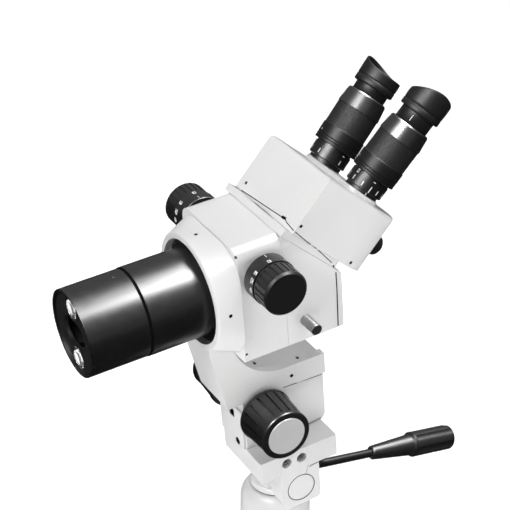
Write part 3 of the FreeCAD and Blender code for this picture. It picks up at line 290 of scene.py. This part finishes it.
# One material for each slot of the record
MATERIALS = {
    "white_paint": paint("enamel_white", tone=0.80, rough=0.34, depth=0.00003),
    "white_cast": paint("enamel_cast", tone=0.79, rough=0.38, depth=0.00006),
    "white_cover": paint("moulded_white", tone=0.79, rough=0.36, depth=0.00004),
    "black_tube": black("lacquer_tube", tone=0.005, rough=0.30, grain=900, depth=0.000006, specular=0.75),
    "black_satin": black("anodised_black", tone=0.009, rough=0.42, grain=2200, depth=0.00001),
    "black_knob": black("moulded_black", tone=0.008, rough=0.33, grain=1500, depth=0.00001, specular=0.6),
    "black_rubber": black("rubber_black", tone=0.008, rough=0.46, grain=1300, depth=0.00002, specular=0.2),
    "black_paint": black("lacquer_rod", tone=0.008, rough=0.33, grain=800, depth=0.00001),
    "leatherette": leatherette(),
    "washer": black("friction_pad", tone=0.08, rough=0.7, grain=1800, depth=0.00005),
    "steel": metal("machined_steel", tone=0.42, rough=0.30, stretch=(0.15, 1, 1)),
    "dark_screw": metal("blackened_screw", tone=0.045, rough=0.38, depth=0.00002),
    "reflector": metal("bright_cup", tone=0.86, rough=0.12),
    "silver": silver_disc(),
    "glass": lens("coated_glass", gray(0.96)),
    "filter_glass": lens("green_glass", (0.25, 0.62, 0.34)),
}
MARKS = white_ink()
# Painted shade: near-black and almost without gloss, laid in joints, slits, the barrel's groove and the
# cover's hole, where shade falls
SHADOW = black("painted_shade", tone=0.004, rough=0.8, grain=900, depth=0.00003, specular=0.02)


def give(node, shader):
    """Puts one material all over a node."""
    for place in frame["nodes"][node].material_slots:
        place.material = shader.mat


def dress_nodes():
    """Each node gets its slot's material, and a few get one of their own."""
    for part in frame["record"]["subparts"]:
        give(part["node"], MATERIALS[part["material_slot"]])
    give("front_plate", black("front_disc", tone=0.008, rough=0.5, grain=1800, depth=0.00001))
    for side, word in SIDES:
        give("eyepiece_" + word, eyepiece_black(side, word))
        scale = black("scale_ring_" + word, tone=0.007, rough=0.36, grain=1500, depth=0.000006)
        give("diopter_scale_" + word, scale)
    give("filter_rod", knurled_steel())


# Helpers for the added pieces
def add_object(name, data):
    obj = bpy.data.objects.new(name, data)
    bpy.context.collection.objects.link(obj)
    return obj


def add_mesh(name, bm, shader, smooth):
    mesh = bpy.data.meshes.new(name)
    bm.to_mesh(mesh)
    bm.free()
    for face in mesh.polygons:
        face.use_smooth = smooth
    mesh.materials.append(shader.mat)
    return add_object(name, mesh)


def mesh_piece(name, bm, shader, body, smooth=True):
    obj = add_mesh(name, bm, shader, smooth)
    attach(obj, body)
    return obj


def around(count):
    """The angles of `count` even steps round a circle."""
    return [2 * math.pi * k / count for k in range(count)]


def on_cylinder(bm, matrix, radius, angle, height):
    """A vertex on a cylinder about a placed frame's Z."""
    return bm.verts.new(matrix @ Vector((radius * math.cos(angle), radius * math.sin(angle), height)))


def join_rings(bm, rings):
    """Faces from each closed ring of vertices to the next."""
    for low, high in zip(rings, rings[1:]):
        for k in range(len(low)):
            n = (k + 1) % len(low)
            bm.faces.new((low[k], low[n], high[n], high[k]))


def lathe(bm, matrix, profile, count):
    """Surface of revolution about a placed frame's Z, from (radius, height) points."""
    join_rings(bm, [[on_cylinder(bm, matrix, radius, angle, height) for angle in around(count)]
                    for radius, height in profile])


def screw_head(bm, place, normal, radius):
    """Dark screw head just proud of a face of the head, with a bevelled rim and a small socket."""
    turn = Vector(normal).to_track_quat("Z", "Y").to_matrix().to_4x4()
    sunk, bevel, top, socket = -0.1, 0.08, 0.16, 0.03
    profile = [(radius, sunk), (radius * 0.96, bevel), (radius * 0.8, top),
               (radius * 0.45, top), (radius * 0.38, socket), (0.01, socket)]
    lathe(bm, HEAD @ Matrix.Translation(place) @ turn, profile, count=28)


# Joint lines are strips of painted shade that lie just above the faces they are drawn on
LINE_STEP = 1.5
LINE_LIFT = 0.1
RAY_BACK = 15


def first_hit(nodes, start, toward):
    """Where a ray in the scene first meets one of the nodes, or None."""
    best = None
    for node in nodes:
        obj = frame["nodes"][node]
        back = obj.matrix_world.inverted()
        hit, place = obj.ray_cast(back @ start, (back.to_3x3() @ toward).normalized())[:2]
        if hit:
            place = obj.matrix_world @ place
            if best is None or (place - start).length < (best - start).length:
                best = place
    return best


def fine_points(points):
    """The points of a polyline with more between them, a little over LINE_STEP apart."""
    dense = []
    for a, b in zip(points, points[1:]):
        a, b = Vector(a), Vector(b)
        steps = max(1, int((b - a).length / LINE_STEP))
        dense += [a.lerp(b, k / steps) for k in range(steps)]
    return dense + [Vector(points[-1])]


def face_line(name, nodes, matrix, points, toward, width, body):
    """A joint line of painted shade, laid on the faces that a ray along `toward` meets, in a placed frame.
    """
    toward = Vector(toward)
    ray = matrix.to_3x3() @ toward
    dense = fine_points(points)
    bm = bmesh.new()
    rows = []
    for k, p in enumerate(dense):
        along = (dense[min(k + 1, len(dense) - 1)] - dense[max(k - 1, 0)]).normalized()
        edge = along.cross(toward).normalized() * width / 2
        hits = [first_hit(nodes, matrix @ (q - toward * RAY_BACK), ray) for q in (p - edge, p + edge)]
        rows.append(None if None in hits else [bm.verts.new(hit - ray * LINE_LIFT) for hit in hits])
    for low, high in zip(rows, rows[1:]):
        if low and high:
            bm.faces.new((low[0], low[1], high[1], high[0]))
    mesh_piece(name, bm, SHADOW, body)


# Printed marks lie on the cylinders that carry them
MARK_STEP = 0.4
MARK_LIFT = 0.06
GLYPH_LIFT = 0.07


def band_mark(bm, matrix, radius, angle, width, low, high):
    """A printed line along a cylinder's axis, wrapped round it."""
    steps = max(2, int(width / MARK_STEP) + 1)
    columns = []
    for k in range(steps + 1):
        bearing = angle + (k / steps - 0.5) * width / radius
        columns.append([on_cylinder(bm, matrix, radius + MARK_LIFT, bearing, z) for z in (low, high)])
    for left, right in zip(columns, columns[1:]):
        bm.faces.new((left[0], right[0], right[1], left[1]))


# The strokes of each character, named as on a seven-segment display, and v for the plus sign's upright
SEGMENTS = {"0": "abcdef", "1": "bc", "2": "abged", "4": "fgbc", "5": "afgcd", "6": "afgedc",
            "+": "gv", "-": "g"}


def glyph(bm, char, matrix, radius, angle, z, height):
    """A character in pointed strokes, wrapped round a cylinder."""
    w = height * 0.52
    h = height / 2
    half_stroke = height * 0.22 * 0.5
    ends = {"a": ((0, h), (w, h)), "b": ((w, h), (w, 0)), "c": ((w, 0), (w, -h)), "d": ((0, -h), (w, -h)),
            "e": ((0, 0), (0, -h)), "f": ((0, h), (0, 0)), "g": ((0, 0), (w, 0)),
            "v": ((w / 2, h * 0.55), (w / 2, -h * 0.55))}
    for key in SEGMENTS[char]:
        (x0, y0), (x1, y1) = ends[key]
        along = Vector((x1 - x0, y1 - y0)).normalized() * half_stroke
        across = Vector((-along.y, along.x))
        tip = along * 0.6
        a = Vector((x0 - w / 2, y0)) - tip
        b = Vector((x1 - w / 2, y1)) + tip
        outline = [a + across, a - tip, a - across, b - across, b + tip, b + across]
        bm.faces.new([on_cylinder(bm, matrix, radius + GLYPH_LIFT, angle + p.x / radius, z + p.y)
                      for p in outline])


# Marks on the zoom knobs: each number with its bearing in degrees, and the index line
ZOOM_NUMBERS = (("6", 52), ("10", 93), ("16", 134.5), ("25", 157), ("40", 180))
ZOOM_INDEX = 91.3


def zoom_marks(side, word):
    """Magnifications round the skirt of a zoom knob, and the index line."""
    knob = zoom_frame(side)
    digit_pitch = 2.3 / ZOOM_SKIRT_R
    bm = bmesh.new()
    for number, place in ZOOM_NUMBERS:
        angle = math.radians(90 + side * place)
        for n, char in enumerate(number):
            shift = (n - (len(number) - 1) / 2) * digit_pitch
            glyph(bm, char, knob, ZOOM_SKIRT_R, angle + shift, z=66.2, height=3.1)
    index = math.radians(90 + side * ZOOM_INDEX)
    band_mark(bm, knob, ZOOM_SKIRT_R, index, width=0.6, low=55.8, high=59.6)
    mesh_piece("zoom_numbers_" + word, bm, MARKS, "zoom", False)


# Bearings round each eye axis in degrees: the ticks and characters of the scale ring, the index on the
# base, and the dot on the grip ring
SCALE_R = 17.2
BASE_R = 15.0
GRIP_R = 20.0
EYE_MARKS = {
    -1: {"ticks": (-190, -152, -114, -75.5, -2, 36),
         "0": -152, "-": -2, "+": 150, "index": -150, "dot": -104.2},
    1: {"ticks": (-141, -113, -84.6, -51.5, -23.5, 1, 29),
        "0": -84.6, "-": -25, "+": -141, "index": -23.5, "dot": -112.3},
}
CHARACTER_HEIGHTS = {"0": 2.9, "-": 3.0, "+": 2.9}


def scale_marks(side, word):
    """Dioptre ticks and characters of a scale ring. A tick right above the index is a long one."""
    eye, places = eye_frame(side), EYE_MARKS[side]
    bm = bmesh.new()
    for tick in places["ticks"]:
        foot = 7.6 if tick == places["index"] else 9.2
        band_mark(bm, eye, SCALE_R, math.radians(tick), width=0.85, low=foot, high=13.2)
    for char, height in CHARACTER_HEIGHTS.items():
        glyph(bm, char, eye, SCALE_R, math.radians(places[char]), z=17.4, height=height)
    mesh_piece("dioptre_marks_" + word, bm, MARKS, "eye_" + word, False)


def scale_index(side, word):
    """Index line on the base, below the scale ring."""
    bm = bmesh.new()
    angle = math.radians(EYE_MARKS[side]["index"])
    band_mark(bm, eye_frame(side), BASE_R, angle, width=0.85, low=4.0, high=6.5)
    mesh_piece("dioptre_index_" + word, bm, MARKS, "eye_" + word, False)


def grip_dot(side, word):
    """Raised white dot on the grip ring."""
    lift, height = 0.03, 28.2
    turn = Matrix.Rotation(math.radians(EYE_MARKS[side]["dot"]), 4, "Z")
    outwards = Matrix.Translation((GRIP_R + lift, 0, height)) @ Matrix.Rotation(QUARTER, 4, "Y")
    dome = [(0.62, -0.1), (0.6, 0.08), (0.4, 0.13), (0.01, 0.14)]
    bm = bmesh.new()
    lathe(bm, eye_frame(side) @ turn @ outwards, dome, count=20)
    mesh_piece("grip_dot_" + word, bm, MARKS, "ocular_" + word)


# Rubber eyecups: the height of the foot along the eye axis, the bearing of the wing in degrees, the lowest
# height of the rim above the foot, and how far the wing rises above that
CUPS = {
    -1: {"foot": 79.65, "wing": 194, "lowest": 15.0, "rise": 8.5},
    1: {"foot": 83.15, "wing": -20.7, "lowest": 14.2, "rise": 11.0},
}
WING_SHARPNESS = 2.1
CUP_COUNT = 96
CUP_STEPS = 8
CUP_SHARES = [step / CUP_STEPS for step in range(1, CUP_STEPS + 1)]
CUP_SEAT_R = 15.34
CUP_BORE_R = 13.9
NECK_BORE_R = 13.7
NECK_FOOT = 65.4


def cup_rims(cup):
    """Heights of the cup's rim, one for each angle round it."""
    wing = math.radians(cup["wing"])
    lifts = [((1 + math.cos(angle - wing)) / 2) ** WING_SHARPNESS for angle in around(CUP_COUNT)]
    return [cup["foot"] + (cup["lowest"] + cup["rise"] * lift) for lift in lifts]


def cup_rings(cup):
    """Rings of (radius, height) points: up the outside, over the rim, down the inside and along the foot."""
    foot, rims = cup["foot"], cup_rims(cup)
    bead_top, inner_foot = foot + 6.6, foot + 3.2
    outer_drop, inner_drop = 0.9, 0.7

    def level(radius, up):
        return [(radius, foot + up)] * CUP_COUNT

    bead = ((CUP_SEAT_R, 0), (17.6, 0), (18.25, 0.35), (CUP_R, 0.9), (CUP_R, 5.6), (18.2, 5.9), (18.2, 6.3),
            (CUP_R, 6.6))
    rings = [level(radius, up) for radius, up in bead]
    for share in CUP_SHARES:
        radius = CUP_R + 0.1 * math.sin(share * math.pi)
        rings.append([(radius, bead_top + (rim - outer_drop - bead_top) * share) for rim in rims])
    for inset, drop in ((0.1, 0.45), (0.4, 0.1), (0.85, 0.0), (1.3, 0.15), (1.6, 0.6)):
        rings.append([(CUP_R - inset, rim - drop) for rim in rims])
    for share in CUP_SHARES:
        radius = CUP_R - 1.7 - 0.5 * share
        rings.append([(radius, rim - inner_drop - (rim - inner_drop - inner_foot) * share) for rim in rims])
    return rings + [level(CUP_BORE_R, 2.6), level(CUP_BORE_R, 0.05), level(CUP_SEAT_R, 0)]


def eyecup(side, word):
    """Soft cup whose rim rises in one rounded wing. It stands for the CAD cup with a finer rim."""
    cup, eye = CUPS[side], eye_frame(side)
    foot = cup["foot"]
    bm = bmesh.new()
    angles = around(CUP_COUNT)
    join_rings(bm, [[on_cylinder(bm, eye, radius, angle, height)
                     for angle, (radius, height) in zip(angles, ring)] for ring in cup_rings(cup)])
    neck = [(NECK_BORE_R, foot + 0.1), (NECK_BORE_R, NECK_FOOT), (NECK_R, NECK_FOOT), (NECK_R, foot + 0.05)]
    lathe(bm, eye, neck, count=64)
    piece = mesh_piece("cup_rubber_" + word, bm, MATERIALS["black_rubber"], "cup_" + word)
    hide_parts("eyecup_" + word)


def neck_line():
    """White height line on the raised right cup's neck."""
    bearing = math.radians(-53.5)
    bm = bmesh.new()
    band_mark(bm, eye_frame(1), NECK_R, bearing, width=0.6, low=75.0, high=80.5)
    mesh_piece("neck_line_right", bm, MARKS, "cup_right", False)


def hole_shade():
    """Painted shade: a dark box inside the square hole in the focus unit's cover."""
    inset, front, back = 0.05, -39.6, -31.7
    x0, x1 = GAUGE_LEFT + inset, GAUGE_LEFT + GAUGE_SIZE - inset
    z0, z1 = GAUGE_LOW + inset, GAUGE_LOW + GAUGE_SIZE - inset
    bm = bmesh.new()
    corners = [[bm.verts.new(HEAD @ Vector((x, y, z))) for x, z in ((x0, z0), (x1, z0), (x1, z1), (x0, z1))]
               for y in (front, back)]
    join_rings(bm, corners)
    bm.faces.new(corners[1])
    mesh_piece("cover_window_painted_shade", bm, SHADOW, "tilt", False)


def set_screws():
    """Small dark set screws on top of the barrel, on the body's corners and flanks, and on the foot."""
    upwards = (0, 0, 1)
    barrel = (-0.8, -132.2, OPTICAL_Z + BARREL_R)
    bm = bmesh.new()
    screw_head(bm, barrel, upwards, radius=1.4)
    for side in (-1, 1):
        corner = (side * 46.0, -44.8, 257.9)
        flank = (side * BODY_HALF_WIDTH, -43.4, 163.6)
        foot = (side * 18.3, 20.0, FOOT_LIP_Z)
        screw_head(bm, corner, (side * 0.8, 0, 0.6), radius=1.3)
        screw_head(bm, flank, (side, 0, 0), radius=1.2)
        screw_head(bm, foot, upwards, radius=1.3)
    mesh_piece("set_screws", bm, MATERIALS["dark_screw"], "carriage")


def barrel_groove():
    """Painted shade: deep black inside of the groove round the barrel."""
    lip, bottom = BARREL_R - 0.05, BARREL_R - 0.6
    half_lip, half_bottom = 1.4, 1.2
    profile = [(lip, BARREL_JOINT - half_lip), (bottom, BARREL_JOINT - half_bottom),
               (bottom, BARREL_JOINT + half_bottom), (lip, BARREL_JOINT + half_lip)]
    bm = bmesh.new()
    lathe(bm, BARREL_AXIS, profile, count=128)
    mesh_piece("barrel_groove_shade", bm, SHADOW, "carriage")


def barrel_rim():
    """Painted highlight: a thin, lighter metal edge round the front of the barrel, from radii and drops
    behind its front plane.
    """
    edge = ((37.1, 0.3), (37.2, 0.1), (37.5, 0.03), (37.8, 0.1), (37.95, 0.4))
    bm = bmesh.new()
    lathe(bm, BARREL_AXIS, [(radius, BARREL_FRONT - drop) for radius, drop in edge], count=128)
    # Lighter metal that stands in for the highlight along the rim
    rim_shine = metal("rim_highlight", tone=0.16, rough=0.28)
    mesh_piece("barrel_rim_edge", bm, rim_shine, "carriage")


# The flanks' painted shade lines start on planes outside the body and the arm, and are pressed inwards from
# there
SEAT = ("head_base", "head_housing", "head_seat")
REAR = ("rear_cover", "rear_shell", "head_seat")
BODY_SIDE = 50
ARM_SIDE = 30
SEAT_LINE = 0.8
NOTCH_LINE = 2.4
REAR_LINE = 1.1
SIDE_LINE = 0.7


def front_seat_gaps():
    """Painted shade in the gap between the binocular head and its seat, seen from the front, from (across,
    up) points.
    """
    gaps = (("seat_gap_front", SEAT_LINE, ((-45, 73.2), (-24.7, 74.9), (25.3, 78.4))),
            ("seat_gap_notch", NOTCH_LINE, ((24.5, 78.6), (30.5, 79.3))),
            ("seat_gap_corner", SEAT_LINE, ((30, 79), (33.3, 77.5), (46.8, 76.0))))
    for name, width, points in gaps:
        face_line(name, SEAT, SLANT, [(x, 0, z) for x, z in points], (0, 1, 0), width, "carriage")


def side_line(name, nodes, matrix, x, points, width, body):
    """A painted shade line at a joint on the flank that `x` is outside, from (along, up) points."""
    inwards = (-math.copysign(1, x), 0, 0)
    face_line(name, nodes, matrix, [(x, y, z) for y, z in points], inwards, width, body)


def side_lines(side, word):
    """Painted shade lines on one flank, at the joints of the seat, rear cover, arm and the focus unit's
    cover, and a painted shadow along the cover's foot.
    """
    body, arm = side * BODY_SIDE, side * ARM_SIDE
    seat = ((-1.5, 76), (13.5, 74.2), (30.6, 72.8), (51.7, 69.5))
    rear = ((43.3, 219.1), (45.4, 211.5), (45.6, 193.6), (45, 156))
    side_line("seat_gap_" + word, SEAT, SLANT, body, seat, SIDE_LINE, "carriage")
    side_line("rear_seam_" + word, REAR, HEAD, body, rear, REAR_LINE, "carriage")
    holder = ((0.3, 96.9), (18.5, 96.2), (24, 93.6))
    cover = ((12, 93.1), (27.5, 92.4), (42.5, 91.7))
    foot = ((24.0, 43.8), (38.2, 45.2))
    side_line("arm_seam_" + word, ("holder",), HEAD, arm, holder, SIDE_LINE, "carriage")
    side_line("cover_seam_" + word, ("focus_housing",), HEAD, arm, cover, SIDE_LINE, "tilt")
    side_line("cover_foot_" + word, ("focus_housing",), HEAD, arm, foot, SIDE_LINE, "tilt")


def clamp_slit():
    """Painted shade in the slit of the clamp, on its right cheek."""
    slit = ((19.0, 20.4), (11.2, 19.5), (7.8, 18.4), (5.2, 13.0))
    side_line("clamp_slit", ("clamp_cheek",), HEAD, BODY_SIDE, slit, SIDE_LINE, "tilt")


def pin_joint():
    """Painted shade: a dark ring in the joint between the tilt pin's end and the cheek round it."""
    bm = bmesh.new()
    lathe(bm, TILT_AXIS, [(13.15, 46.24), (13.3, 46.3), (13.65, 46.3), (13.8, 46.24)], count=96)
    mesh_piece("pin_joint_line", bm, SHADOW, "tilt")


def add_pieces():
    for side, word in SIDES:
        zoom_marks(side, word)
        scale_marks(side, word)
        scale_index(side, word)
        grip_dot(side, word)
        eyecup(side, word)
    neck_line()
    hole_shade()
    set_screws()
    barrel_groove()
    barrel_rim()
    front_seat_gaps()
    for side, word in SIDES:
        side_lines(side, word)
    clamp_slit()
    pin_joint()


# Floor, sky, lights and camera
FLOOR_HALF = 40.0
FLOOR_DROP = 0.0005

# The sky's tone at each Z of a direction into it, from the horizon up
SKY = ((0.0, 0.014), (0.01, 0.55), (0.05, 0.42), (0.12, 0.16), (0.45, 0.34))

# The lights point at the middle of the head
MIDDLE = Vector((0, -0.02, 0.24))

CAMERA_PLACE = (1.06515, -0.61687, 0.99612)
CAMERA_AZIMUTH = math.radians(60.79)
CAMERA_DIP = math.radians(29.85)
CAMERA_LENS = 118.36


def add_floor():
    bm = bmesh.new()
    corners = ((-FLOOR_HALF, -FLOOR_HALF), (FLOOR_HALF, -FLOOR_HALF), (FLOOR_HALF, FLOOR_HALF),
               (-FLOOR_HALF, FLOOR_HALF))
    bm.faces.new([bm.verts.new((x, y, -FLOOR_DROP)) for x, y in corners])
    floor = add_mesh("floor", bm, pale_floor(), False)
    floor.visible_glossy = False


def add_sky():
    """Studio surround: dark below the horizon, brightest just above it and dimmer overhead."""
    world = bpy.context.scene.world or bpy.data.worlds.new("studio")
    bpy.context.scene.world = world
    world.use_nodes = True
    tree = world.node_tree
    sky = tree.nodes.get("Background") or tree.nodes.new("ShaderNodeBackground")
    sky.inputs["Strength"].default_value = 1.0
    height = tree.nodes.new("ShaderNodeSeparateXYZ")
    tree.links.new(tree.nodes.new("ShaderNodeTexCoord").outputs["Generated"], height.inputs["Vector"])
    ramp = tree.nodes.new("ShaderNodeValToRGB")
    steps = ramp.color_ramp.elements
    for element, (place, tone) in zip(steps, (SKY[0], SKY[-1])):
        element.position = place
        element.color = (*gray(tone), 1)
    for place, tone in SKY[1:-1]:
        steps.new(place).color = (*gray(tone), 1)
    tree.links.new(height.outputs["Z"], ramp.inputs["Fac"])
    tree.links.new(ramp.outputs["Color"], sky.inputs["Color"])


def softbox(name, direction, distance, size, power, in_gloss):
    """Area light in a direction from MIDDLE. It shows in the gloss only, or lights the surfaces only."""
    data = bpy.data.lights.new(name, "AREA")
    data.shape = "RECTANGLE"
    data.size, data.size_y = size
    data.energy = power
    obj = add_object(name, data)
    place = MIDDLE + Vector(direction).normalized() * distance
    aim = (MIDDLE - place).to_track_quat("-Z", "Y").to_matrix().to_4x4()
    obj.matrix_world = Matrix.Translation(place) @ aim
    obj.visible_diffuse = not in_gloss
    obj.visible_glossy = in_gloss


def add_lights():
    softbox("front_key", (0.26, -0.755, 0.604), 1.5, size=(0.30, 0.34), power=9.2, in_gloss=False)
    softbox("side_fill", (1.0, 0.35, 0.1), 1.6, size=(0.7, 0.7), power=1.5, in_gloss=False)
    softbox("overhead", (0.21, 0.21, 0.95), 1.41, size=(0.50, 0.50), power=7.8, in_gloss=False)
    softbox("barrel_shine", (0.10, 0.41, 0.905), 1.4, size=(1.1, 0.6), power=90, in_gloss=True)
    softbox("eyepiece_shine", (0.26, -0.62, 0.74), 1.5, size=(0.9, 0.35), power=62, in_gloss=True)


def add_camera():
    """Long lens at the photograph's viewing angle."""
    data = bpy.data.cameras.new("camera")
    data.lens = CAMERA_LENS
    data.sensor_width = 36.0
    data.clip_start = 0.05
    camera = add_object("camera", data)
    camera.location = CAMERA_PLACE
    camera.rotation_euler = (QUARTER - CAMERA_DIP, 0, CAMERA_AZIMUTH)
    bpy.context.scene.camera = camera
    bpy.context.scene.view_settings.view_transform = "Standard"


dress_nodes()
add_pieces()
add_floor()
add_sky()
add_lights()
add_camera()
